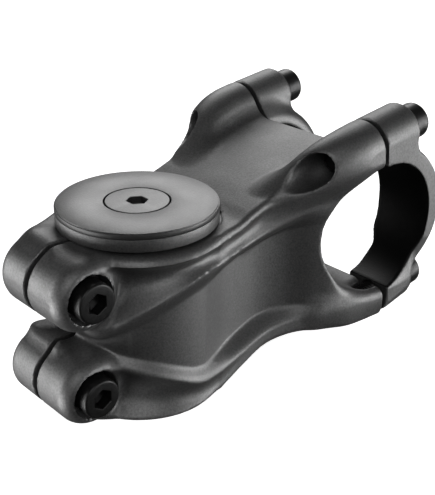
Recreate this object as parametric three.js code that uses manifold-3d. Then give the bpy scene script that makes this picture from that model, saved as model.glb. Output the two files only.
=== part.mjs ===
// A bicycle handlebar stem. One forged body clamps the fork's steerer at its rear and the
// handlebar at its front. Two separate bands hold the bar, a split pair of knuckles behind the
// steerer closes the rear clamp, and a cap with one bolt sits on a spacer above it.

import * as THREE from 'three';
import { mergeVertices } from 'three/addons/utils/BufferGeometryUtils.js';
import Module from 'manifold-3d';

const wasm = await Module();
wasm.setup();

// Driving dimensions, in millimetres. The origin is on the steerer's axis, in the lower face of
// the rear clamp. +X points forward to the handlebar, +Y to the rider's left, +Z up the steerer.

const GAP = 0.3; // left between pieces that touch
const BEYOND = 4; // how far a cutting shape runs past what it cuts
const OVERLAP = 0.5; // how far two shapes that are joined run into each other

const STEERER_BORE = 14.3; // radius, for a 28.6 mm steerer
const BARREL_RADIUS = 19;
const CLAMP_HEIGHT = 38;

const BAR_BORE = 15.9; // radius, for a 31.8 mm handlebar
const BAR_X = 52; // how far the bar sits in front of the steerer
const BAR_Z = 28.4;
const BAR_LEAN = 7.2; // degrees that the bar clamp's parting plane leans back
const PARTING = 1.2; // width of the gap between the body and the bands

// The neck, as [x, z] seen from the side and [x, y] seen from above.
const UNDERSIDE_START = [7, 0];
const ARCH = [28, 5.9];
const TOP_START = [15, CLAMP_HEIGHT];
const TOP_MIDDLE = [34, 43.6];
const TOP_END = [60, 48.4];
const WAIST = [21, 15.6];
const SHOULDER = [46, 24.2];
const BARREL_ARC = THREE.MathUtils.degToRad(60); // where the neck leaves the round barrel
const WEB = { radius: 17, halfThickness: 13.2, rear: [9, 18.5], front: [48, 22] };
const POCKET = { back: 21.5, front: 46, floor: 11.5, roof: 35, frontRoof: 40, halfWidth: 9.5, corner: 4.5 };

const KNUCKLE_X = -20.5;
const KNUCKLE_NEAR = -12.6; // the end that the pinch bolts go in at
const KNUCKLE_FAR = 10.6;
const UPPER_KNUCKLE = { z: 30.4, radius: 7.6 };
const LOWER_KNUCKLE = { z: 8.6, radius: 7.3 };
const SLOT = { width: 1.4, length: 20, front: -12.3 }; // the cut that lets the rear clamp close

const BAND = { radius: 20, outer: 25.9, inner: 11.2, innerLow: 15.3, slantTop: -7, slantFoot: -20 };
// The ears hold the screws. t is the height above the bar's axis, and rear and front are
// distances along the screw from the parting plane.
const UPPER_EAR = { y: 20.06, t: 20.06, radius: 6.09, rear: -14, front: 11.9 };
const LOWER_EAR = { y: 20.4, t: -18.9, radius: 5.3, rear: -12, front: 9.5 };

const THREAD_RADIUS = 2.5; // M5
const THREAD_HOLE = THREAD_RADIUS + GAP;
const HEAD_RADIUS = 4.25;
const HEAD_HEIGHT = 4.6;
const SOCKET = { acrossFlats: 4, depth: 2.6 };
const WASHER = { outer: 4.9, inner: THREAD_HOLE, thickness: 0.8 };
const COUNTERBORE = 5.6;
const SPOT_FACE = 5.2;
const UPPER_BOLT_SHANK = 25;
const LOWER_BOLT_SHANK = 20;
const PINCH_BOLT_SHANK = 16;
const PINCH_SEAT = KNUCKLE_NEAR + HEAD_HEIGHT + WASHER.thickness + 2 * GAP;

const CAP_RADIUS = 17.25;
const CAP_TOP = 42.2;
const CAP_EDGE = 1.1; // thickness of the cap's rim
const CAP_BOSS = { radius: 11.5, depth: 5.6 };
const CAP_HEAD = { radius: 6.85, height: 2 };
const CAP_BOLT = { radius: 3, length: 22 }; // M6
const CAP_SOCKET = { acrossFlats: 4, depth: 1.6 };

// Finishes.

const alloy = { color: 0x2e2f31, roughness: 0.5, metalness: 0.6 };
const capAlloy = { color: 0x3b3c3e, roughness: 0.45, metalness: 0.6 };
const blackSteel = { color: 0x101112, roughness: 0.35, metalness: 0.7 };

// Directions of the bar clamp: forward runs square to its parting plane, and up runs in it.

const lean = THREE.MathUtils.degToRad(BAR_LEAN);
const forward = new THREE.Vector3(Math.cos(lean), 0, Math.sin(lean));
const up = new THREE.Vector3(-Math.sin(lean), 0, Math.cos(lean));
const right = new THREE.Vector3(0, -1, 0);
const barCentre = new THREE.Vector3(BAR_X, 0, BAR_Z);

function clampPoint(s, y, t) {
  const point = barCentre.clone().addScaledVector(forward, s).addScaledVector(up, t);
  point.y = y;
  return point;
}

// Solids: from a three.js geometry to a manifold, and back to a mesh.

function solid(geometry) {
  const bare = geometry.clone();
  bare.deleteAttribute('normal');
  bare.deleteAttribute('uv');
  const merged = mergeVertices(bare, 1e-4);
  const vertProperties = new Float32Array(merged.attributes.position.array);
  const triVerts = new Uint32Array(merged.index.array);
  return new wasm.Manifold(new wasm.Mesh({ numProp: 3, vertProperties, triVerts }));
}

function piece(name, shape, finish) {
  const mesh = shape.getMesh();
  const geometry = new THREE.BufferGeometry();
  geometry.setAttribute('position', new THREE.BufferAttribute(mesh.vertProperties, 3));
  geometry.setIndex(new THREE.BufferAttribute(mesh.triVerts, 1));
  geometry.computeVertexNormals();
  const made = new THREE.Mesh(geometry, new THREE.MeshStandardMaterial(finish));
  made.name = name;
  return made;
}

function rod(start, end, radius, sides = 24) {
  const run = end.clone().sub(start);
  const geometry = new THREE.CylinderGeometry(radius, radius, run.length(), sides);
  const turn = new THREE.Quaternion().setFromUnitVectors(
    new THREE.Vector3(0, 1, 0), run.clone().normalize());
  geometry.applyQuaternion(turn);
  geometry.translate(...start.clone().add(end).multiplyScalar(0.5).toArray());
  return solid(geometry);
}

// A socket-head screw lies along direction, with the underside of its head at seat.
function screw(seat, direction, { head, height, shank, length, acrossFlats, depth }) {
  const at = (distance) => seat.clone().addScaledVector(direction, distance);
  const hexRadius = acrossFlats / 2 / Math.cos(Math.PI / 6);
  return rod(at(0), at(height), head)
    .add(rod(at(-length), at(OVERLAP), shank, 16))
    .subtract(rod(at(height - depth), at(height + BEYOND), hexRadius, 6));
}

function washer(seat, direction) {
  const at = (distance) => seat.clone().addScaledVector(direction, distance);
  return rod(at(0), at(WASHER.thickness), WASHER.outer)
    .subtract(rod(at(-BEYOND), at(WASHER.thickness + BEYOND), WASHER.inner, 16));
}

// Extrudes an outline whose X and Y lie along the given directions, from one distance to another
// along the third.
function extrude(outline, xAxis, yAxis, origin, from, to, curveSegments = 8) {
  const depth = to - from;
  const zAxis = xAxis.clone().cross(yAxis);
  const options = { depth, bevelEnabled: false, curveSegments };
  const geometry = new THREE.ExtrudeGeometry(outline, options);
  geometry.translate(0, 0, from);
  geometry.applyMatrix4(new THREE.Matrix4().makeBasis(xAxis, yAxis, zAxis).setPosition(origin));
  return solid(geometry);
}

const xAxis = new THREE.Vector3(1, 0, 0);
const yAxis = new THREE.Vector3(0, 1, 0);
const zAxis = new THREE.Vector3(0, 0, 1);
const origin = new THREE.Vector3();

// Carries an outline on to a point, leaving and arriving at the given slopes.
function curveTo(outline, [x, y], slopeFrom = 0, slopeTo = 0) {
  const start = outline.currentPoint;
  const third = (x - start.x) / 3;
  outline.bezierCurveTo(
    start.x + third, start.y + third * slopeFrom, x - third, y - third * slopeTo, x, y);
}

// The body's outline seen from the side: flat under and over the rear clamp, then rising to the
// bar clamp along the top.
function sideOutline() {
  const middleSlope = 0.3;
  const endSlope = 0.12;
  const behind = -BARREL_RADIUS - BEYOND;
  const outline = new THREE.Shape();
  outline.moveTo(behind, 0);
  outline.lineTo(...UNDERSIDE_START);
  curveTo(outline, ARCH);
  curveTo(outline, [TOP_END[0], BAR_Z + LOWER_EAR.t - LOWER_EAR.radius]);
  outline.lineTo(...TOP_END);
  curveTo(outline, TOP_MIDDLE, endSlope, middleSlope);
  curveTo(outline, TOP_START, middleSlope);
  outline.lineTo(behind, CLAMP_HEIGHT);
  return outline;
}

// Seen from above: the round barrel, a waist, and the flare out to the bar clamp.
function planOutline() {
  const leavingSlope = -1 / Math.tan(BARREL_ARC);
  const edge = new THREE.Path();
  edge.absarc(0, 0, BARREL_RADIUS, Math.PI, BARREL_ARC, true);
  curveTo(edge, WAIST, leavingSlope);
  curveTo(edge, SHOULDER);
  edge.lineTo(TOP_END[0], SHOULDER[1]);
  const left = edge.getPoints(12);
  const mirrored = left.slice(1).reverse().map((point) => new THREE.Vector2(point.x, -point.y));
  return new THREE.Shape([...left, ...mirrored]);
}

// The neck is hollow: a pocket runs back from the bar's bore between the two side webs.
function pocketOutline() {
  const { back, front, floor, roof, frontRoof, corner } = POCKET;
  const outline = new THREE.Shape();
  outline.moveTo(front, floor + BEYOND / 2);
  outline.lineTo(front, frontRoof);
  outline.lineTo(back + corner, roof);
  outline.quadraticCurveTo(back, roof, back, roof - corner);
  outline.lineTo(back, floor + corner);
  outline.quadraticCurveTo(back, floor, back + corner, floor);
  outline.lineTo(BAR_X - BAR_BORE, floor);
  return outline;
}

function earRod(ear, side, from, to, radius, sides = 24) {
  const y = side * ear.y;
  return rod(clampPoint(from, y, ear.t), clampPoint(to, y, ear.t), radius, sides);
}

function knuckleRod(knuckle, from, to, radius, sides = 24) {
  const start = new THREE.Vector3(KNUCKLE_X, from, knuckle.z);
  const end = new THREE.Vector3(KNUCKLE_X, to, knuckle.z);
  return rod(start, end, radius, sides);
}

function rearKnuckles(body) {
  let shape = body;
  for (const knuckle of [UPPER_KNUCKLE, LOWER_KNUCKLE]) {
    shape = shape.add(knuckleRod(knuckle, KNUCKLE_NEAR, KNUCKLE_FAR, knuckle.radius));
  }
  for (const knuckle of [UPPER_KNUCKLE, LOWER_KNUCKLE]) {
    const openEnd = KNUCKLE_NEAR - BEYOND;
    shape = shape
      .subtract(knuckleRod(knuckle, openEnd, PINCH_SEAT, COUNTERBORE))
      .subtract(knuckleRod(knuckle, openEnd, KNUCKLE_FAR + BEYOND, THREAD_HOLE, 16));
  }
  return shape;
}

// Each side of the neck is dished between an upper and a lower rail.
function webHollow(sideSign) {
  const y = sideSign * (WEB.halfThickness + WEB.radius);
  const [rearX, rearZ] = WEB.rear;
  const [frontX, frontZ] = WEB.front;
  return rod(new THREE.Vector3(rearX, y, rearZ), new THREE.Vector3(frontX, y, frontZ), WEB.radius, 40);
}

function steererBore() {
  const low = new THREE.Vector3(0, 0, -BEYOND);
  const high = new THREE.Vector3(0, 0, CLAMP_HEIGHT + BEYOND);
  return rod(low, high, STEERER_BORE, 48);
}

function rearSlot() {
  const height = CLAMP_HEIGHT + 2 * BEYOND;
  const slot = new THREE.BoxGeometry(SLOT.length, SLOT.width, height);
  slot.translate(SLOT.front - SLOT.length / 2, 0, CLAMP_HEIGHT / 2);
  return solid(slot);
}

const WIDE = BAND.outer + BEYOND; // reaches past both sides of the stem
const FAR = 60; // reaches past the stem in front of the bar

function barBore() {
  return rod(clampPoint(0, -WIDE, 0), clampPoint(0, WIDE, 0), BAR_BORE, 48);
}

// Everything in front of the body's half of the parting plane.
function aheadOfBody() {
  const ahead = new THREE.BoxGeometry(FAR, 2 * WIDE, 2 * FAR);
  ahead.translate(FAR / 2 - PARTING / 2, 0, 0);
  ahead.applyMatrix4(
    new THREE.Matrix4().makeBasis(forward, yAxis, up).setPosition(barCentre));
  return solid(ahead);
}

function stemBody() {
  const side = extrude(sideOutline(), xAxis, zAxis, origin, -WIDE, WIDE);
  const plan = extrude(planOutline(), xAxis, yAxis, origin, -BEYOND, FAR);
  let shape = side.intersect(plan);
  for (const sideSign of [-1, 1]) {
    shape = shape
      .subtract(webHollow(sideSign))
      .add(earRod(UPPER_EAR, sideSign, UPPER_EAR.rear, BEYOND, UPPER_EAR.radius))
      .add(earRod(LOWER_EAR, sideSign, LOWER_EAR.rear, BEYOND, LOWER_EAR.radius));
  }
  const pocket = extrude(
    pocketOutline(), xAxis, zAxis, origin, -POCKET.halfWidth, POCKET.halfWidth);
  shape = rearKnuckles(shape)
    .subtract(steererBore())
    .subtract(barBore())
    .subtract(rearSlot())
    .subtract(aheadOfBody())
    .subtract(pocket);
  for (const sideSign of [-1, 1]) {
    for (const ear of [UPPER_EAR, LOWER_EAR]) {
      shape = shape.subtract(
        earRod(ear, sideSign, ear.rear - BEYOND, BEYOND, THREAD_HOLE, 16));
    }
  }
  return shape;
}

// Seen from the front, a band's inner edge is upright and then slants outward near its foot.
function bandOutline(sideSign) {
  const tall = BAND.radius + 2 * BEYOND;
  const corners = [
    [BAND.inner, tall], [BAND.inner, BAND.slantTop], [BAND.innerLow, BAND.slantFoot],
    [BAND.innerLow, -tall], [WIDE, -tall], [WIDE, tall],
  ];
  return new THREE.Shape(corners.map(([y, t]) => new THREE.Vector2(y, sideSign * t)));
}

// One of the two bands that hold the handlebar, on the side that sideSign names.
function barBand(sideSign) {
  const half = PARTING / 2;
  const opening = Math.acos(half / BAND.radius);
  const arc = new THREE.Shape();
  arc.absarc(0, 0, BAND.radius, -opening, opening, false);
  let shape = extrude(arc, forward, up, barCentre, -BAND.outer, BAND.outer, 24);
  for (const ear of [UPPER_EAR, LOWER_EAR]) {
    shape = shape.add(earRod(ear, sideSign, half, ear.front, ear.radius));
  }
  const across = yAxis.clone().multiplyScalar(sideSign);
  const height = up.clone().multiplyScalar(sideSign);
  const front = extrude(bandOutline(sideSign), across, height, barCentre, half, FAR);
  shape = shape.subtract(barBore()).intersect(front);
  for (const ear of [UPPER_EAR, LOWER_EAR]) {
    shape = shape
      .subtract(earRod(ear, sideSign, -BEYOND, ear.front + BEYOND, THREAD_HOLE, 16))
      .subtract(earRod(ear, sideSign, ear.front, BAND.radius + BEYOND, SPOT_FACE));
  }
  return shape;
}

function topCap() {
  const rimLow = CAP_TOP - CAP_EDGE;
  const bossLow = CAP_TOP - CAP_BOSS.depth;
  const pocketLow = CAP_TOP - CAP_HEAD.height - GAP;
  const pocketRadius = CAP_HEAD.radius + GAP;
  const hole = CAP_BOLT.radius + GAP;
  const corners = [
    [hole, bossLow], [CAP_BOSS.radius, bossLow], [CAP_BOSS.radius, rimLow],
    [CAP_RADIUS, rimLow], [CAP_RADIUS, CAP_TOP], [pocketRadius, CAP_TOP],
    [pocketRadius, pocketLow], [hole, pocketLow], [hole, bossLow],
  ];
  const profile = corners.map(([radius, z]) => new THREE.Vector2(radius, z));
  const geometry = new THREE.LatheGeometry(profile, 48);
  geometry.rotateX(Math.PI / 2);
  return solid(geometry);
}

function spacerRing() {
  const low = new THREE.Vector3(0, 0, CLAMP_HEIGHT + GAP);
  const high = new THREE.Vector3(0, 0, CAP_TOP - CAP_EDGE - GAP);
  const under = low.clone().setZ(low.z - BEYOND);
  const over = high.clone().setZ(high.z + BEYOND);
  return rod(low, high, CAP_RADIUS, 48).subtract(rod(under, over, STEERER_BORE, 48));
}

// The assembly.

const stem = new THREE.Group();
stem.add(piece('stem_body', stemBody(), alloy));

const m5 = { head: HEAD_RADIUS, height: HEAD_HEIGHT, shank: THREAD_RADIUS, ...SOCKET };

const sides = { left: 1, right: -1 };
const clampBolts = [
  { level: 'upper', ear: UPPER_EAR, length: UPPER_BOLT_SHANK },
  { level: 'lower', ear: LOWER_EAR, length: LOWER_BOLT_SHANK },
];
for (const [sideName, sideSign] of Object.entries(sides)) {
  stem.add(piece(`bar_clamp_${sideName}`, barBand(sideSign), alloy));
  for (const { level, ear, length } of clampBolts) {
    const washerSeat = clampPoint(ear.front + GAP, sideSign * ear.y, ear.t);
    const headSeat = washerSeat.clone().addScaledVector(forward, WASHER.thickness + GAP);
    const name = `${level}_${sideName}`;
    stem.add(piece(`clamp_washer_${name}`, washer(washerSeat, forward), blackSteel));
    const bolt = screw(headSeat, forward, { ...m5, length });
    stem.add(piece(`clamp_bolt_${name}`, bolt, blackSteel));
  }
}

const knuckles = { upper: UPPER_KNUCKLE, lower: LOWER_KNUCKLE };
for (const [level, knuckle] of Object.entries(knuckles)) {
  const washerSeat = new THREE.Vector3(KNUCKLE_X, PINCH_SEAT - GAP, knuckle.z);
  const headSeat = washerSeat.clone().addScaledVector(right, WASHER.thickness + GAP);
  const bolt = screw(headSeat, right, { ...m5, length: PINCH_BOLT_SHANK });
  stem.add(piece(`pinch_washer_${level}`, washer(washerSeat, right), blackSteel));
  stem.add(piece(`pinch_bolt_${level}`, bolt, blackSteel));
}

stem.add(piece('spacer_ring', spacerRing(), alloy));
stem.add(piece('top_cap', topCap(), capAlloy));
const capHeadSeat = new THREE.Vector3(0, 0, CAP_TOP - CAP_HEAD.height);
const capBolt = screw(capHeadSeat, zAxis, {
  head: CAP_HEAD.radius,
  height: CAP_HEAD.height,
  shank: CAP_BOLT.radius,
  length: CAP_BOLT.length,
  ...CAP_SOCKET,
});
stem.add(piece('top_cap_bolt', capBolt, capAlloy));

export default stem;
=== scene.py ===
"""The looks of a bicycle handlebar stem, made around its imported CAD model.

The forged body and the two bar clamp bands are sculpted as distance fields and meshed by dual
contouring. Everything turned on a lathe (screws, washers, cap, spacer) is built ring by ring.
Sculpted shapes are in millimetres, in the CAD's frame: the origin is on the steerer's axis in the
rear clamp's lower face, +X is forward, +Y is the rider's left and +Z is up.
"""

import math
from collections import namedtuple

import bpy
import numpy as np
from mathutils import Matrix, Vector


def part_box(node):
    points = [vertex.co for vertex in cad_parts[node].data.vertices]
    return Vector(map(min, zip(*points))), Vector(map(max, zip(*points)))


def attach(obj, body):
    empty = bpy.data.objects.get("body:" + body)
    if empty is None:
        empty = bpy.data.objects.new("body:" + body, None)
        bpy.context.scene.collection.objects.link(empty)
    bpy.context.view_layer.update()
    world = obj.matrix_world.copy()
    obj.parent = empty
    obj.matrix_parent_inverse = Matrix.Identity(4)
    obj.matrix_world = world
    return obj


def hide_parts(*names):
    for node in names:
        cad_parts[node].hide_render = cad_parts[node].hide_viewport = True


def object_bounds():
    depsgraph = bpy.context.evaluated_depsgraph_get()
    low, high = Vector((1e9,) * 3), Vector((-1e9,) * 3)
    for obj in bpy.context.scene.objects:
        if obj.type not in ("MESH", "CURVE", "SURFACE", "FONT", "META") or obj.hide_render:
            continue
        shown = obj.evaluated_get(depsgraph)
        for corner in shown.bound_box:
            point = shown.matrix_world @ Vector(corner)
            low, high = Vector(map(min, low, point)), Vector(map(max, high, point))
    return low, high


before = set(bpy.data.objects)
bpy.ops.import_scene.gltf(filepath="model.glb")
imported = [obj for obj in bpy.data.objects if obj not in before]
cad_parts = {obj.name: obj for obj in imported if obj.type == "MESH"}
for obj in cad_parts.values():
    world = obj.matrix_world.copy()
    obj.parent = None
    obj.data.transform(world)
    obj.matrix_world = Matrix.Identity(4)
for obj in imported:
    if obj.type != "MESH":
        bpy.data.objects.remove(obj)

CAD_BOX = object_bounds()
MM = 0.001

# Driving dimensions. Most are the CAD model's own, and a few lie closer to the real part.

STEERER_BORE = 14.3
BARREL_RADIUS = 19.2
CLAMP_HEIGHT = 38.0

BAR_BORE = 15.9
BAR_X = 52.0
BAR_Z = 28.4
BAR_LEAN = math.radians(7.2)
HALF_PARTING = 0.6
MACHINED_EDGE = 0.35  # rounding of sawn and milled edges
HOLE_EDGE = 0.3

KNUCKLE_X = -20.5
KNUCKLE_NEAR = -12.6
KNUCKLE_FAR = 10.6
HALF_SLOT = 0.7
PINCH_SEAT = -7.2
COUNTERBORE = 5.3
KNUCKLES = ((30.4, 7.6), (8.6, 7.4))  # the height and the radius of each, the upper one first

# An ear holds a band screw: y and t place its axis, t being the height above the bar's axis.
Ear = namedtuple("Ear", "y t radius front band_fillet")
UPPER_EAR = Ear(20.06, 20.06, 6.05, 11.9, 2.5)
LOWER_EAR = Ear(20.4, -19.05, 5.25, 9.5, 5.0)
BAND_RADIUS = 20.0
SPOT_FACE = 5.2

THREAD_HOLE = 2.65
SNUG_HOLE = 2.48  # the lower holes pass close under the bar, so they fit their screws closely
CAP_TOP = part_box("top_cap")[1].z / MM
SPACER_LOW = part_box("spacer_ring")[0].z / MM
SPACER_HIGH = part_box("spacer_ring")[1].z / MM
DISC_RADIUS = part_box("top_cap")[1].x / MM
GAP = 0.3

FORWARD = np.array([math.cos(BAR_LEAN), 0, math.sin(BAR_LEAN)])
UP = np.array([-math.sin(BAR_LEAN), 0, math.cos(BAR_LEAN)])
BAR_CENTRE = np.array([BAR_X, 0, BAR_Z])

BOX_MARGIN = 0.03
BOX_LOW = np.array(CAD_BOX[0]) / MM + BOX_MARGIN
BOX_HIGH = np.array(CAD_BOX[1]) / MM - BOX_MARGIN

GRID = 0.45  # spacing of the grid that sculpted shapes are meshed on


# Distance fields. A field is negative inside the solid, and joins and cuts round their edges.

def join(a, b, radius=0.0):
    """The union of two solids, with a concave fillet where they meet."""
    corner = np.hypot(np.maximum(radius - a, 0), np.maximum(radius - b, 0))
    return np.maximum(radius, np.minimum(a, b)) - corner


def keep(a, b, radius=0.0):
    """What two solids share, with a rounded edge."""
    return -join(-a, -b, radius)


def cut(a, b, radius=0.0):
    """The first solid without the second, with a rounded edge."""
    return keep(a, -b, radius)


def inside_box(field, x, y, z):
    """Trims a shape to the CAD model's box."""
    walls = [low - value for low, value in zip(BOX_LOW, (x, y, z))]
    walls += [value - high for high, value in zip(BOX_HIGH, (x, y, z))]
    for wall in walls:
        field = np.maximum(field, wall)
    return field


def lerp(a, b, share):
    return a + (b - a) * share


def smooth_step(value, low, high):
    share = np.clip((value - low) / (high - low), 0, 1)
    return share * share * (3 - 2 * share)


def tapered_rod(point, start, end, start_radius, end_radius):
    """A round rod between two points, with round ends, whose radius changes along it."""
    run = np.subtract(end, start)
    offset = [value - base for value, base in zip(point, start)]
    along = sum(part * step for part, step in zip(offset, run)) / np.dot(run, run)
    along = np.clip(along, 0, 1)
    gap = [part - along * step for part, step in zip(offset, run)]
    return np.sqrt(sum(part * part for part in gap)) - lerp(start_radius, end_radius, along)


def curve(*points):
    """A smooth curve through (x, value) points, flat beyond its ends."""
    xs, values = np.array(points, float).T
    slopes = np.gradient(values, xs)
    fine = np.linspace(xs[0], xs[-1], 600)
    left = np.clip(np.searchsorted(xs, fine, "right") - 1, 0, len(xs) - 2)
    width = xs[left + 1] - xs[left]
    u = (fine - xs[left]) / width
    shape = (
        values[left] * (2 * u**3 - 3 * u**2 + 1)
        + slopes[left] * width * (u**3 - 2 * u**2 + u)
        + values[left + 1] * (3 * u**2 - 2 * u**3)
        + slopes[left + 1] * width * (u**3 - u**2)
    )
    return lambda x: np.interp(x, fine, shape)


def clamp_place(x, z):
    """(s, t): how far a point is in front of the bar's axis, and above it, along the parting plane."""
    s = (x - BAR_X) * FORWARD[0] + (z - BAR_Z) * FORWARD[2]
    t = (x - BAR_X) * UP[0] + (z - BAR_Z) * UP[2]
    return s, t


def clamp_point(s, y, t):
    point = BAR_CENTRE + s * FORWARD + t * UP
    return np.array([point[0], y, point[2]])


# The forged body. Each line below follows x, from the knuckles forward to the bar clamp.

TOP_LINE = curve(
    (-30, 38), (10, 38), (14, 38.4), (18, 39.8), (23, 41.4), (29, 42.9), (38, 45.0), (46, 46.7), (52, 47.4))
UNDER_LINE = curve(
    (-30, 0), (4, 0), (10, 0.7), (16, 2.6), (22, 4.9), (28, 5.9), (38, 5.6), (44, 4.9), (56, 4.7))
UPPER_RIDGE = curve(
    (-22, 22.4), (-17, 22.0), (-12, 25.4), (-6, 28.9), (0, 31.2), (8, 31.8), (15, 32.6), (22, 34.0),
    (30, 36.2), (40, 37.6), (50, 39))
LOWER_RIDGE = curve(
    (-22, 16), (-16, 13), (-9, 10.4), (-4, 8.1), (1, 5.9), (8, 5.3), (15, 6.3), (23, 8.6), (30, 9.6),
    (40, 10), (50, 11))
FLANGE_WIDTH = curve(
    (4, 18.78), (8, 18.0), (11.5, 17.4), (15, 17.0), (19, 16.8), (23, 17.0), (29, 18.4), (36, 21.2),
    (42, 23.6), (50, 24.4))
WEB_WIDTH = curve(
    (4, 17.14), (8, 15.6), (11.5, 14.3), (15, 13.5), (19, 13.2), (23, 13.5), (29, 15.6), (35, 20.0),
    (38, 21.8), (42, 22.9), (50, 23.4))
RAIL_HOLLOW = curve(
    (-22, 0), (-18.5, 3.6), (-15, 4.8), (-11, 4.0), (-6, 2.8), (0, 1.8), (8, 1.2), (24, 0.8), (34, 0.4),
    (44, 0))
LOW_HOLLOW = curve((-22, 0), (-18.5, 3.0), (-15, 3.8), (-11, 3.0), (-6, 1.9), (0, 0.9), (8, 0.3), (18, 0))
WEB_RADIUS = 17.6
NECK_START = 4.0
UPPER_FADE = 4.5  # how far the upper rail takes to sink into the web
LOWER_FADE = 3.5

# The block that joins the barrel to the knuckles.
REAR_TIP = (-15.6, -7.0)
REAR_TIP_RADIUS = 3.4
FAR_WALL_NORMAL = (-0.395, 0.919)
FAR_WALL_DISTANCE = 19.4
FAR_WALL_REAR = -22.5
FAR_WALL_FRONT = -6.5

KNUCKLE_DOME = 12.0  # radius of the sphere that the near ends are part of
KNUCKLE_FILLET = 2.6
UPPER_EAR_FILLET = 3.5
LOWER_EAR_FILLET = 3.0
SPACER_CLEARANCE = 0.4

# The upper ear runs back along its screw, then bends inward and sinks into the neck's shoulder.
# Each line follows s, the distance in front of the bar's axis.
UPPER_EAR_TAIL = -31
UPPER_EAR_SIDE = curve(
    (UPPER_EAR_TAIL, 11.4), (-26, 13.5), (-21, 16.0), (-16, 18.1), (-11, 19.4), (-6, 20.0), (-2, UPPER_EAR.y))
UPPER_EAR_HEIGHT = curve(
    (UPPER_EAR_TAIL, 8.6), (-26, 12.6), (-21, 16.0), (-16, 18.5), (-11, 19.6), (-6, 20.0), (-2, UPPER_EAR.t))
UPPER_EAR_THICKNESS = curve(
    (UPPER_EAR_TAIL, 1.2), (-26, 2.9), (-21, 4.2), (-16, 5.0), (-11, 5.6), (-6, 5.95),
    (-2, UPPER_EAR.radius))
LOWER_EAR_TAIL = (38.0, 17.0, 10.2)
LOWER_EAR_TAIL_RADIUS = 4.2

# The hollow inside the neck, as a middle and half a size.
POCKET_X, POCKET_LENGTH = 33.5, 12.0
POCKET_Z, POCKET_HEIGHT = 23.0, 11.0
POCKET_WIDTH = 9.5
POCKET_CORNER = 3.0

# A field that stretches along a slope overstates distances, so it is scaled down by one of these.
GENTLE_SLOPE = 0.96
STEEP_SLOPE = 0.85


def plan(x, y, radius, width_line):
    """A level slice through the barrel and the neck in front of it."""
    slope = width_line(x + 0.5) - width_line(x - 0.5)
    neck = (np.abs(y) - width_line(x)) / np.sqrt(1 + slope * slope)
    return np.where(x < NECK_START, np.hypot(x, y) - radius, neck)


def rear_plan(x, y):
    """A level slice through the block that joins the barrel to the knuckles."""
    near = tapered_rod((x, y), (0, 0), REAR_TIP, BARREL_RADIUS, REAR_TIP_RADIUS)
    wall = FAR_WALL_NORMAL[0] * x + FAR_WALL_NORMAL[1] * y - FAR_WALL_DISTANCE
    far = keep(keep(wall, FAR_WALL_REAR - x, 5), keep(x - FAR_WALL_FRONT, -y - 2))
    return join(near, far, 2)


def hollow(share):
    """The depth of a shallow groove, from one edge of it (0) to the other (1)."""
    return (4 * share * (1 - share)) ** 1.3


def faded(distance, reach):
    """1 where the distance is zero or less, falling smoothly to 0 at the reach."""
    return (1 - np.clip(distance / reach, 0, 1) ** 2) ** 2


def hull(x, y, z):
    """The body's outer form without its ears: two grooved rails, with a dished web between them."""
    top_line, under_line = TOP_LINE(x), UNDER_LINE(x)
    upper_ridge, lower_ridge = UPPER_RIDGE(x), LOWER_RIDGE(x)
    crest, foot = top_line - 1.6, under_line + 1.0
    up_rail = np.clip((z - upper_ridge) / (crest - upper_ridge), 0, 1)
    down_rail = np.clip((lower_ridge - z) / (lower_ridge - foot), 0, 1)
    groove = RAIL_HOLLOW(x) * hollow(up_rail) + LOW_HOLLOW(x) * hollow(down_rail)
    flange = join(plan(x, y, BARREL_RADIUS, FLANGE_WIDTH), rear_plan(x, y), 1) + groove
    web = plan(x, y, WEB_RADIUS, WEB_WIDTH)
    share = np.maximum(faded(upper_ridge - z, UPPER_FADE), faded(z - lower_ridge, LOWER_FADE))
    sides = lerp(web, flange, share)
    top_rounding = lerp(2.4, 1.2, smooth_step(x, 2, 14))
    topped = keep(sides, (z - top_line) * GENTLE_SLOPE, top_rounding)
    return keep(topped, (under_line - z) * GENTLE_SLOPE, 1.5)


def knuckle(x, y, z, height, radius):
    """A knuckle, through which a pinch bolt runs. Its near end is domed."""
    from_axis = np.hypot(x - KNUCKLE_X, z - height)
    middle = (KNUCKLE_NEAR + KNUCKLE_FAR) / 2
    dome = np.where(y < middle, np.minimum(from_axis, 9) ** 2 / (2 * KNUCKLE_DOME), 0)
    ends = np.abs(y - middle) + dome - (KNUCKLE_FAR - KNUCKLE_NEAR) / 2
    rounding = lerp(1.8, 2.5, smooth_step(y, -4, 4))
    return keep(from_axis - radius, ends * STEEP_SLOPE, rounding)


def upper_ear(x, y, z):
    s, t = clamp_place(x, z)
    from_axis = np.hypot(np.abs(y) - UPPER_EAR_SIDE(s), t - UPPER_EAR_HEIGHT(s))
    ear = (from_axis - UPPER_EAR_THICKNESS(s)) * STEEP_SLOPE
    return np.maximum(ear, UPPER_EAR_TAIL - s)


def lower_ear(x, y, z):
    """A rod that starts beyond the parting plane, which trims it later."""
    front = clamp_point(4, LOWER_EAR.y, LOWER_EAR.t)
    return tapered_rod((x, np.abs(y), z), front, LOWER_EAR_TAIL, LOWER_EAR.radius, LOWER_EAR_TAIL_RADIUS)


def screw_line(y, t, ear):
    """The distance from an ear's axis."""
    return np.hypot(np.abs(y) - ear.y, t - ear.t)


def drill_knuckles(shape, x, y, z):
    for height, _ in KNUCKLES:
        from_axis = np.hypot(x - KNUCKLE_X, z - height)
        shape = cut(shape, keep(from_axis - COUNTERBORE, y - PINCH_SEAT), 0.45)
        shape = cut(shape, from_axis - THREAD_HOLE, HOLE_EDGE)
    return shape


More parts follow.
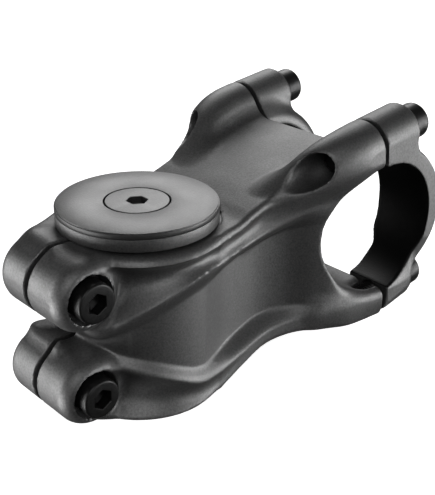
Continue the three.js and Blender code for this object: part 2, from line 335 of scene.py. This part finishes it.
def drill_ears(shape, x, y, z):
    """The upper holes come out through the ears' rear slopes and flare there. The lower ones end inside."""
    s, t = clamp_place(x, z)
    flared = THREAD_HOLE + 0.9 * smooth_step(-s, 10, 17)
    shape = cut(shape, screw_line(y, t, UPPER_EAR) - flared, 0.6)
    blind = keep(screw_line(y, t, LOWER_EAR) - SNUG_HOLE, -11 - s)
    return cut(shape, blind, 0.2)


def open_bar_clamp(shape, x, y, z):
    """The bar's bore, whose rim opens wider toward its foot, and the hollow neck behind it."""
    s, t = clamp_place(x, z)
    rim = 1.0 + 1.8 * smooth_step(-t, 6, 15)
    shape = cut(shape, np.hypot(s, t) - BAR_BORE, rim)
    across = keep(np.abs(y) - POCKET_WIDTH, np.abs(z - POCKET_Z) - POCKET_HEIGHT, POCKET_CORNER)
    pocket = keep(across, np.abs(x - POCKET_X) - POCKET_LENGTH, POCKET_CORNER)
    shape = cut(shape, pocket, 0.8)
    return keep(shape, s + HALF_PARTING, MACHINED_EDGE)


def open_steerer_clamp(shape, x, y):
    shape = cut(shape, np.hypot(x, y) - STEERER_BORE, 0.5)
    slot = keep(np.abs(y) - HALF_SLOT, x + STEERER_BORE - 3)
    return cut(shape, slot, MACHINED_EDGE)


def body_field(x, y, z):
    spacer_seat = keep(np.hypot(x, y) - DISC_RADIUS - SPACER_CLEARANCE, CLAMP_HEIGHT - z)
    shape = cut(hull(x, y, z), spacer_seat, 0.2)
    for height, radius in KNUCKLES:
        shape = join(shape, knuckle(x, y, z, height, radius), KNUCKLE_FILLET)
    shape = join(shape, upper_ear(x, y, z), UPPER_EAR_FILLET)
    shape = join(shape, lower_ear(x, y, z), LOWER_EAR_FILLET)
    shape = drill_knuckles(shape, x, y, z)
    shape = drill_ears(shape, x, y, z)
    shape = open_bar_clamp(shape, x, y, z)
    shape = open_steerer_clamp(shape, x, y)
    return inside_box(shape, x, y, z)


# The bar clamp bands. Each line follows the angle around the bar, in degrees above straight ahead.

BAND_INNER = curve((-95, 15.4), (-81, 15.3), (-64, 14.2), (-50, 13.4), (-36, 11.5), (-25, 11.2), (95, 11.2))
BAND_OUTER = curve((-95, 24.6), (-75, 23.8), (-62, 23.9), (-49, 24.8), (-34, 25.8), (95, 25.9))


def band_field(x, y, z):
    """Both bands at once: the field is the same on the two sides."""
    side = np.abs(y)
    s, t = clamp_place(x, z)
    radius = np.hypot(s, t)
    angle = np.degrees(np.arctan2(t, s))
    ring = keep(radius - BAND_RADIUS, side - BAND_OUTER(angle), 2.0)
    ring = keep(ring, BAND_INNER(angle) - side, 3.4)
    for ear in (UPPER_EAR, LOWER_EAR):
        boss = keep(screw_line(y, t, ear) - ear.radius, s - ear.front, 0.7)
        ring = join(ring, boss, ear.band_fillet)
    for ear in (UPPER_EAR, LOWER_EAR):
        from_axis = screw_line(y, t, ear)
        ring = cut(ring, keep(from_axis - SPOT_FACE, ear.front - s), 0.4)
        ring = cut(ring, from_axis - THREAD_HOLE, HOLE_EDGE)
    ring = cut(ring, radius - BAR_BORE, 0.6)
    ring = keep(ring, HALF_PARTING - s, MACHINED_EDGE)
    return inside_box(ring, x, y, z)


# Meshing a field by dual contouring: one vertex in each grid cell that the surface crosses, placed
# where the surface's tangent planes meet, so edges stay crisp.

def gradient(field, points):
    """The unit normals of a field's surface."""
    step = 0.02
    slopes = []
    for axis in range(3):
        offset = np.zeros((3, 1))
        offset[axis] = step
        slopes.append(field(*(points + offset)) - field(*(points - offset)))
    slopes = np.array(slopes)
    return slopes / np.maximum(np.linalg.norm(slopes, axis=0), 1e-12)


def crossing_points(field, start, axis, step, low_value, high_value):
    """Where the surface crosses each grid edge, by repeated false position."""
    near, far = np.zeros_like(low_value), np.ones_like(high_value)
    least = 0.02
    for _ in range(3):
        share = near + (far - near) * low_value / (low_value - high_value)
        share = np.clip(share, near + least * (far - near), far - least * (far - near))
        points = start.copy()
        points[axis] += share * step
        value = field(*points)
        same = (value < 0) == (low_value < 0)
        near, low_value = np.where(same, share, near), np.where(same, value, low_value)
        far, high_value = np.where(same, far, share), np.where(same, high_value, value)
    return points


def contour(field, low, high, step):
    """Vertices (in millimetres) and quads of the surface where a field is zero, inside a box."""
    low = np.asarray(low, float)
    counts = np.ceil((np.asarray(high) - low) / step).astype(int) + 1
    axes = [low[i] + step * np.arange(counts[i]) for i in range(3)]
    value = field(*np.meshgrid(*axes, indexing="ij"))
    inside = value < 0
    strides = np.array([counts[1] * counts[2], counts[2], 1])
    cells, positions, normals = [], [], []
    for axis in range(3):
        below = [slice(None)] * 3
        above = [slice(None)] * 3
        below[axis], above[axis] = slice(None, -1), slice(1, None)
        index = np.argwhere(inside[tuple(below)] != inside[tuple(above)]).T
        next_index = index.copy()
        next_index[axis] += 1
        start = low[:, None] + step * index
        points = crossing_points(
            field, start, axis, step, value[tuple(index)], value[tuple(next_index)])
        base = strides @ index
        second, third = strides[(axis + 1) % 3], strides[(axis + 2) % 3]
        ring = np.stack([base, base - second, base - second - third, base - third])
        outward = inside[tuple(index)]
        cells.append(np.where(outward, ring, ring[::-1]))
        positions.append(points)
        normals.append(gradient(field, points))
    cells = np.concatenate(cells, axis=1)
    positions = np.tile(np.concatenate(positions, axis=1), 4)
    normals = np.tile(np.concatenate(normals, axis=1), 4)
    used, owner = np.unique(cells.reshape(-1), return_inverse=True)
    owner = owner.reshape(-1)
    vertices = cell_vertices(owner, len(used), positions, normals, step)
    return vertices, owner.reshape(4, -1).T


def cell_vertices(owner, count, positions, normals, step):
    """The point of each cell that lies nearest to all the tangent planes met in that cell."""
    def total(values):
        return np.bincount(owner, values, count)

    hits = total(np.ones(len(owner)))
    centre = np.array([total(p) for p in positions]) / hits
    products = np.array([[total(a * b) for a in normals] for b in normals])
    heights = (normals * positions).sum(axis=0)
    target = np.array([total(n * heights) for n in normals])
    pull = 0.05  # toward the centre of the crossings, for cells whose planes are nearly parallel
    matrix = products.transpose(2, 0, 1) + pull * hits[:, None, None] * np.eye(3)
    right = (target - np.einsum("ijn,jn->in", products, centre)).T
    shift = np.linalg.solve(matrix, right[..., None])[..., 0]
    return centre.T + np.clip(shift, -step, step)


# Turned pieces: closed rings of vertices stacked along an axis.

def ring_points(radius, height, sides):
    """One ring. radius is a number, or a function of the angle."""
    angles = np.arange(sides) * 2 * math.pi / sides
    radii = np.array([radius(a) if callable(radius) else radius for a in angles])
    return np.stack([radii * np.cos(angles), radii * np.sin(angles), np.full(sides, height)], axis=1)


def stack_rings(rings, closed):
    """Quads between successive rings. A closed stack joins its last ring to its first, and an open
    one has a fan at each end."""
    sides = len(rings[0])
    vertices = np.concatenate(rings)
    faces = []
    pairs = [(i, i + 1) for i in range(len(rings) - 1)]
    if closed:
        pairs.append((len(rings) - 1, 0))
    for one, two in pairs:
        for k in range(sides):
            after = (k + 1) % sides
            faces.append((one * sides + k, one * sides + after, two * sides + after, two * sides + k))
    if not closed:
        last = (len(rings) - 1) * sides
        first_centre, last_centre = len(vertices), len(vertices) + 1
        vertices = np.vstack([vertices, rings[0].mean(axis=0), rings[-1].mean(axis=0)])
        for k in range(sides):
            after = (k + 1) % sides
            faces.append((first_centre, after, k))
            faces.append((last_centre, last + k, last + after))
    return vertices, faces


def hexagon(across_flats):
    sixth = math.pi / 3
    return lambda angle: across_flats / 2 / math.cos((angle + sixth / 2) % sixth - sixth / 2)


def thread_rings(radius, pitch, start, end, sides):
    """Rings whose radius follows a right-hand thread, from start up to end, fading out at both ends."""
    rings = []
    depth = 0.55 * pitch
    rings_per_turn = 7
    count = int((end - start) / pitch * rings_per_turn)
    for i in range(count + 1):
        height = start + (end - start) * i / count
        fade = min(1, 3.0 * i / rings_per_turn / 2, (count - i) / rings_per_turn)

        def radius_at(angle, height=height, fade=fade):
            phase = (height / pitch - angle / (2 * math.pi)) % 1
            groove = min(1.0, max(0.0, 1.25 - 2.5 * abs(phase - 0.5)))
            return radius - depth * fade * groove

        rings.append(ring_points(radius_at, height, sides))
    return rings


def screw_mesh(head_radius, head_height, across_flats, socket_depth, shank, length, pitch, dome):
    """A socket-head screw along +Z, with the underside of its head at zero."""
    sides = 36
    chamfer = 0.3
    tip = [(shank * 0.45, -length), (shank * 0.72, -length), (shank * 0.8, 0.15 - length)]
    thread = thread_rings(shank, pitch, 0.5 - length, -2.2, sides)
    head = [(shank, -2.0), (shank, -0.25), (shank + 0.25, 0.0)]
    head += [(head_radius - chamfer, 0.0), (head_radius, chamfer), (head_radius, head_height - dome)]
    dome_steps = 5
    for i in range(1, dome_steps + 1):
        turn = math.pi / 2 * i / dome_steps
        head.append((head_radius - dome * (1 - math.cos(turn)), head_height - dome * (1 - math.sin(turn))))
    rings = [ring_points(r, h, sides) for r, h in tip] + thread
    rings += [ring_points(r, h, sides) for r, h in head]
    return stack_rings(rings + socket_rings(across_flats, socket_depth, head_height, sides), closed=False)


def socket_rings(across_flats, depth, top, sides):
    """A hexagonal socket, with a chamfered mouth and a sunken middle."""
    hex_line = hexagon(across_flats)
    chamfer = 0.12
    return [
        ring_points(lambda angle: hex_line(angle) + chamfer, top, sides),
        ring_points(hex_line, top - chamfer, sides),
        ring_points(hex_line, top - depth, sides),
        ring_points(across_flats * 0.3, top - depth - 0.35, sides),
    ]


def lathe_mesh(profile, sides=96):
    """A ring-shaped piece about +Z from a closed (radius, height) profile, run anticlockwise."""
    return stack_rings([ring_points(r, h, sides) for r, h in profile], closed=True)


def bevelled(corners, size):
    """A closed profile with each corner cut back in two steps."""
    corners = np.array(corners)
    profile = []
    for i, corner in enumerate(corners):
        before, after = corners[i - 1], corners[(i + 1) % len(corners)]
        back = (before - corner) / np.linalg.norm(before - corner)
        ahead = (after - corner) / np.linalg.norm(after - corner)
        profile.append(tuple(corner + back * size))
        profile.append(tuple(corner + (back + ahead) * size * 0.3))
        profile.append(tuple(corner + ahead * size))
    return profile


# Blender objects.

def add_piece(name, vertices, faces, material, body, replaced, place=None):
    """A mesh object made of millimetre vertices, which rides on a CAD body in a CAD node's stead."""
    mesh = bpy.data.meshes.new(name)
    placed = np.asarray(vertices, float)
    if place is not None:
        placed = placed @ place[0].T + place[1]
    mesh.from_pydata((placed * MM).tolist(), [], [tuple(map(int, face)) for face in faces])
    mesh.validate()
    mesh.shade_smooth()
    mesh.set_sharp_from_angle(angle=math.radians(38))
    mesh.materials.append(material)
    piece = bpy.data.objects.new(name, mesh)
    bpy.context.scene.collection.objects.link(piece)
    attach(piece, body)
    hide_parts(replaced)
    return piece


def facing(direction, origin):
    """A turn and a shift that take +Z to a direction and zero to a point."""
    turn = Vector((0, 0, 1)).rotation_difference(Vector(direction)).to_matrix()
    return np.array(turn), np.asarray(origin, float)


# Materials.

def feed(tree, socket, value):
    """Links an input to another node's output, or sets it to a plain value."""
    if isinstance(value, bpy.types.NodeSocket):
        tree.links.new(value, socket)
    else:
        socket.default_value = value


def add_node(tree, kind, inputs=None, **settings):
    """A shader node. inputs maps the names or numbers of its inputs to what feeds them."""
    made = tree.nodes.new(kind)
    for key, value in settings.items():
        setattr(made, key, value)
    for key, value in (inputs or {}).items():
        feed(tree, made.inputs[key], value)
    return made


def new_material(name):
    material = bpy.data.materials.new(name)
    material.use_nodes = True
    return material, material.node_tree, material.node_tree.nodes["Principled BSDF"]


def noise(tree, scale, detail=2.0, roughness=0.5):
    place = add_node(tree, "ShaderNodeTexCoord").outputs["Object"]
    inputs = {"Vector": place, "Scale": scale, "Detail": detail, "Roughness": roughness}
    return add_node(tree, "ShaderNodeTexNoise", inputs).outputs["Fac"]


def remap(tree, value, low, high, from_low=0.3, from_high=0.7):
    inputs = {"Value": value, "From Min": from_low, "From Max": from_high, "To Min": low, "To Max": high}
    return add_node(tree, "ShaderNodeMapRange", inputs).outputs["Result"]


def mixed(tree, share, low, high):
    """A colour between two, each a colour or a socket."""
    factor_input, low_input, high_input, colour_output = 0, 6, 7, 2  # those of the colour mode
    inputs = {factor_input: share, low_input: low, high_input: high}
    return add_node(tree, "ShaderNodeMix", inputs, data_type="RGBA").outputs[colour_output]


def grey(value):
    return (value, value, value, 1)


def vector_math(tree, operation, first, second):
    return add_node(tree, "ShaderNodeVectorMath", {0: first, 1: second}, operation=operation)


def painted_bore_shade(tree):
    """1 on the bands' gripping surface, where near black is painted as the shade inside the bore, and 0
    elsewhere.
    """
    place = add_node(tree, "ShaderNodeTexCoord").outputs["Object"]
    offset = vector_math(tree, "SUBTRACT", place, tuple(BAR_CENTRE * MM)).outputs["Vector"]
    level = vector_math(tree, "MULTIPLY", offset, (1, 0, 1)).outputs["Vector"]
    radius = vector_math(tree, "LENGTH", level, (0, 0, 0)).outputs["Value"]
    ahead = vector_math(tree, "DOT_PRODUCT", offset, tuple(FORWARD)).outputs["Value"]
    inside = remap(tree, radius, 1, 0, (BAR_BORE + 0.15) * MM, (BAR_BORE + 0.35) * MM)
    in_front = remap(tree, ahead, 0, 1, 0.0, 0.3 * MM)
    both = add_node(tree, "ShaderNodeMath", {0: inside, 1: in_front}, operation="MULTIPLY")
    return both.outputs["Value"]


def upward(tree):
    """1 on level faces that look up and 0 on upright ones."""
    normal = add_node(tree, "ShaderNodeTexCoord").outputs["Normal"]
    height = vector_math(tree, "DOT_PRODUCT", normal, (0, 0, 1)).outputs["Value"]
    return remap(tree, height, 0, 1, 0.75, 0.95)


def peened_alloy(name, shade, roughness, grain, painted_side_shade=None):
    """Shot-peened, anodised aluminium: fine dimples, a faint mottle, and lighter worn edges, with painted
    shade: near black in the bands' bore, and darker upright faces when a side colour is given.
    """
    material, tree, shader = new_material(name)
    shader.inputs["Metallic"].default_value = 0.85
    dimples = noise(tree, 2200, 3.0, 0.65)
    mottle = noise(tree, 90, 4.0)
    tint = mixed(tree, remap(tree, dimples, 0, 1), grey(shade * (1 - grain)), grey(shade * (1 + grain)))
    # Painted shade: upright faces take a darker colour than faces that look up.
    if painted_side_shade:
        tint = mixed(tree, upward(tree), grey(painted_side_shade), tint)
    wear = add_node(tree, "ShaderNodeNewGeometry").outputs["Pointiness"]
    worn = remap(tree, wear, 0, 0.3, 0.54, 0.64)
    colour = mixed(tree, worn, tint, grey(shade * 1.6))
    # Painted shade: the bands' bore surface is coloured near black.
    colour = mixed(tree, painted_bore_shade(tree), colour, grey(0.008))
    tree.links.new(colour, shader.inputs["Base Color"])
    tree.links.new(remap(tree, mottle, roughness - 0.04, roughness + 0.05), shader.inputs["Roughness"])
    bump = add_node(tree, "ShaderNodeBump", {"Height": dimples, "Strength": 0.5, "Distance": 0.00008})
    tree.links.new(bump.outputs["Normal"], shader.inputs["Normal"])
    return material


def black_oxide(name, shade, roughness):
    """Black steel, with faint turning marks and a soft mottle."""
    material, tree, shader = new_material(name)
    shader.inputs["Metallic"].default_value = 0.7
    fine = noise(tree, 1800, 3.0)
    mottle = noise(tree, 300, 3.0)
    colour = mixed(tree, remap(tree, mottle, 0, 1), grey(shade * 0.8), grey(shade * 1.3))
    tree.links.new(colour, shader.inputs["Base Color"])
    tree.links.new(remap(tree, fine, roughness - 0.06, roughness + 0.08), shader.inputs["Roughness"])
    bump = add_node(tree, "ShaderNodeBump", {"Height": fine, "Strength": 0.2, "Distance": 0.00004})
    tree.links.new(bump.outputs["Normal"], shader.inputs["Normal"])
    return material


# The pieces.

def make_body(material):
    low, high = (-30, -28, -2), (56, 28, 57)
    vertices, faces = contour(body_field, low, high, GRID)
    add_piece("forged_body", vertices, faces, material, "stem", "stem_body")


def make_band(side_name, sign, material):
    inner, outer = sorted((8 * sign, 28 * sign))
    vertices, faces = contour(band_field, (44, inner, -1), (75, outer, 58), GRID)
    body, replaced = f"clamp_{side_name}", f"bar_clamp_{side_name}"
    add_piece(f"band_{side_name}", vertices, faces, material, body, replaced)


M5 = dict(head_radius=4.25, across_flats=4.0, socket_depth=2.6, shank=2.4, pitch=0.8)
WASHER_INNER, WASHER_OUTER, WASHER_THICKNESS = 2.8, 4.9, 0.8


def make_washer(name, body, place, material):
    corners = [(WASHER_INNER, 0), (WASHER_OUTER, 0), (WASHER_OUTER, WASHER_THICKNESS),
               (WASHER_INNER, WASHER_THICKNESS)]
    vertices, faces = lathe_mesh(bevelled(corners, 0.12), 48)
    add_piece(f"{name}_ring", vertices, faces, material, body, name, place)


def make_m5_set(direction, washer_seat, screw, washer, bolt, material):
    """A washer and the screw on it, both along a direction. washer and bolt are (node, body) names."""
    make_washer(*washer, facing(direction, washer_seat), material)
    seat = np.asarray(washer_seat) + np.asarray(direction) * (WASHER_THICKNESS + GAP)
    vertices, faces = screw_mesh(**M5, **screw)
    node, body = bolt
    add_piece(f"{node}_screw", vertices, faces, material, body, node, facing(direction, seat))


def make_screws(material):
    for side_name, sign in (("left", 1), ("right", -1)):
        for level, ear, length in (("upper", UPPER_EAR, 25), ("lower", LOWER_EAR, 20)):
            key = f"{level}_{side_name}"
            seat = clamp_point(ear.front + GAP, sign * ear.y, ear.t)
            screw = dict(head_height=4.6, length=length, dome=1.0)
            washer = (f"clamp_washer_{key}", f"washer_{key}")
            bolt = (f"clamp_bolt_{key}", f"bolt_{key}")
            make_m5_set(FORWARD, seat, screw, washer, bolt, material)
    for level, (height, _) in zip(("upper", "lower"), KNUCKLES):
        seat = (KNUCKLE_X, PINCH_SEAT - GAP, height)
        screw = dict(head_height=4.9, length=16, dome=0.5)
        washer = (f"pinch_washer_{level}",) * 2
        bolt = (f"pinch_bolt_{level}",) * 2
        make_m5_set((0, -1, 0), seat, screw, washer, bolt, material)


def make_spacer(material):
    top = SPACER_HIGH + 0.1
    corners = [(STEERER_BORE, SPACER_LOW), (DISC_RADIUS, SPACER_LOW), (DISC_RADIUS, top), (STEERER_BORE, top)]
    vertices, faces = lathe_mesh(bevelled(corners, 0.08), 128)
    add_piece("spacer", vertices, faces, material, "spacer", "spacer_ring")


HEAD_POCKET, HEAD_POCKET_DEPTH = 7.15, 2.3
CAP_HOLE = 3.3
CAP_BOSS, CAP_BOSS_DEPTH = 11.5, 5.6
CAP_RIM = 1.2
RIM_STEP = 0.25
CAP_SCREW = dict(head_radius=6.85, head_height=2.0, across_flats=4.0, socket_depth=1.5, shank=3.0, length=22,
                 pitch=1.0, dome=0.2)


def make_cap(material):
    rim_low, boss_low = CAP_TOP - CAP_RIM, CAP_TOP - CAP_BOSS_DEPTH
    pocket_low = CAP_TOP - HEAD_POCKET_DEPTH
    corners = [(CAP_HOLE, boss_low), (CAP_BOSS, boss_low), (CAP_BOSS, rim_low), (DISC_RADIUS, rim_low),
               (DISC_RADIUS, CAP_TOP - RIM_STEP), (DISC_RADIUS - RIM_STEP, CAP_TOP - RIM_STEP),
               (DISC_RADIUS - RIM_STEP, CAP_TOP), (HEAD_POCKET, CAP_TOP), (HEAD_POCKET, pocket_low),
               (CAP_HOLE, pocket_low)]
    vertices, faces = lathe_mesh(bevelled(corners, 0.06), 128)
    add_piece("cap_plate", vertices, faces, material, "cap", "top_cap")
    seat = facing((0, 0, 1), (0, 0, CAP_TOP - CAP_SCREW["head_height"]))
    vertices, faces = screw_mesh(**CAP_SCREW)
    add_piece("cap_screw", vertices, faces, material, "cap_bolt", "top_cap_bolt", seat)


# The stage.

CAMERA_PLACE = (-0.10953, -0.14321, 0.11718)
CAMERA_TURN = (47.23, 25.545, 0.512)  # heading, downward pitch and roll, in degrees

def look_through_camera():
    """The camera stands behind the stem on the rider's right, above it, and looks forward."""
    heading, pitch, roll = map(math.radians, CAMERA_TURN)
    ahead = Vector((math.cos(heading), math.sin(heading), 0))
    forward = ahead * math.cos(pitch) - Vector((0, 0, math.sin(pitch)))
    level_right = Vector((math.sin(heading), -math.cos(heading), 0))
    level_up = level_right.cross(forward)
    right = level_right * math.cos(roll) + level_up * math.sin(roll)
    up = level_up * math.cos(roll) - level_right * math.sin(roll)
    data = bpy.data.cameras.new("camera")
    data.sensor_width = 36
    data.lens = 67.77
    data.clip_start = 0.01
    camera = bpy.data.objects.new("camera", data)
    turn = Matrix((right, up, -forward)).transposed().to_4x4()
    camera.matrix_world = Matrix.Translation(CAMERA_PLACE) @ turn
    bpy.context.scene.collection.objects.link(camera)
    bpy.context.scene.camera = camera


def add_floor():
    """A large pale floor that only the camera sees, so that it doesn't flood the part with light."""
    mesh = bpy.data.meshes.new("floor")
    half = 60.0
    corners = [(-half, -half, 0), (half, -half, 0), (half, half, 0), (-half, half, 0)]
    mesh.from_pydata(corners, [], [(0, 1, 2, 3)])
    floor = bpy.data.objects.new("floor", mesh)
    floor.location.z = CAD_BOX[0][2] - GAP * MM
    bpy.context.scene.collection.objects.link(floor)
    material, tree, shader = new_material("pale_floor")
    looks = {"Base Color": grey(0.9), "Roughness": 0.9, "Specular IOR Level": 0.0,
             "Emission Color": grey(1.0), "Emission Strength": 0.9}
    for name, value in looks.items():
        shader.inputs[name].default_value = value
    mesh.materials.append(material)
    floor.visible_glossy = False
    floor.visible_diffuse = False
    floor.visible_shadow = False


SOFTBOX_DISTANCE = 0.9
SOFTBOX_SIZE = 0.5
SOFTBOXES = (
    # name, azimuth, elevation, radiance
    ("back", 47, 34, 4.6),
    ("front_right", -40, 0, 8.5),
    ("right", -72, 2, 2.4),
    ("left", 135, 0, 7.0),
    ("left_low", 160, -26, 10.0),
    ("fill", -133, 40, 3.4),
)


def add_softbox(name, azimuth, elevation, radiance):
    """A soft light in a direction seen from the stem. Azimuth runs from +X toward +Y, in degrees."""
    turn, rise = math.radians(azimuth), math.radians(elevation)
    middle = Vector((0.022, 0, 0.024))
    away = Vector((math.cos(rise) * math.cos(turn), math.cos(rise) * math.sin(turn), math.sin(rise)))
    data = bpy.data.lights.new(name, "AREA")
    data.shape = "SQUARE"
    data.size = SOFTBOX_SIZE
    data.energy = radiance * math.pi * SOFTBOX_SIZE**2
    light = bpy.data.objects.new(name, data)
    light.location = middle + away * SOFTBOX_DISTANCE
    light.rotation_euler = away.to_track_quat("Z", "Y").to_euler()
    bpy.context.scene.collection.objects.link(light)


def light_stage():
    world = bpy.data.worlds.new("studio")
    world.use_nodes = True
    background = world.node_tree.nodes["Background"]
    background.inputs["Color"].default_value = (1, 1, 1, 1)
    background.inputs["Strength"].default_value = 0.04
    bpy.context.scene.world = world
    for softbox in SOFTBOXES:
        add_softbox(*softbox)
    bpy.context.scene.view_settings.view_transform = "Standard"


def build():
    look_through_camera()
    body_alloy = peened_alloy("body_alloy", 0.115, 0.5, 0.22)
    # The cap's upright sides are painted darker than its top, as shade.
    cap_alloy = peened_alloy("cap_alloy", 0.13, 0.45, 0.1, painted_side_shade=0.07)
    steel = black_oxide("black_steel", 0.013, 0.38)
    make_body(body_alloy)
    make_band("left", 1, body_alloy)
    make_band("right", -1, body_alloy)
    make_screws(steel)
    make_spacer(body_alloy)
    make_cap(cap_alloy)
    add_floor()
    light_stage()


build()
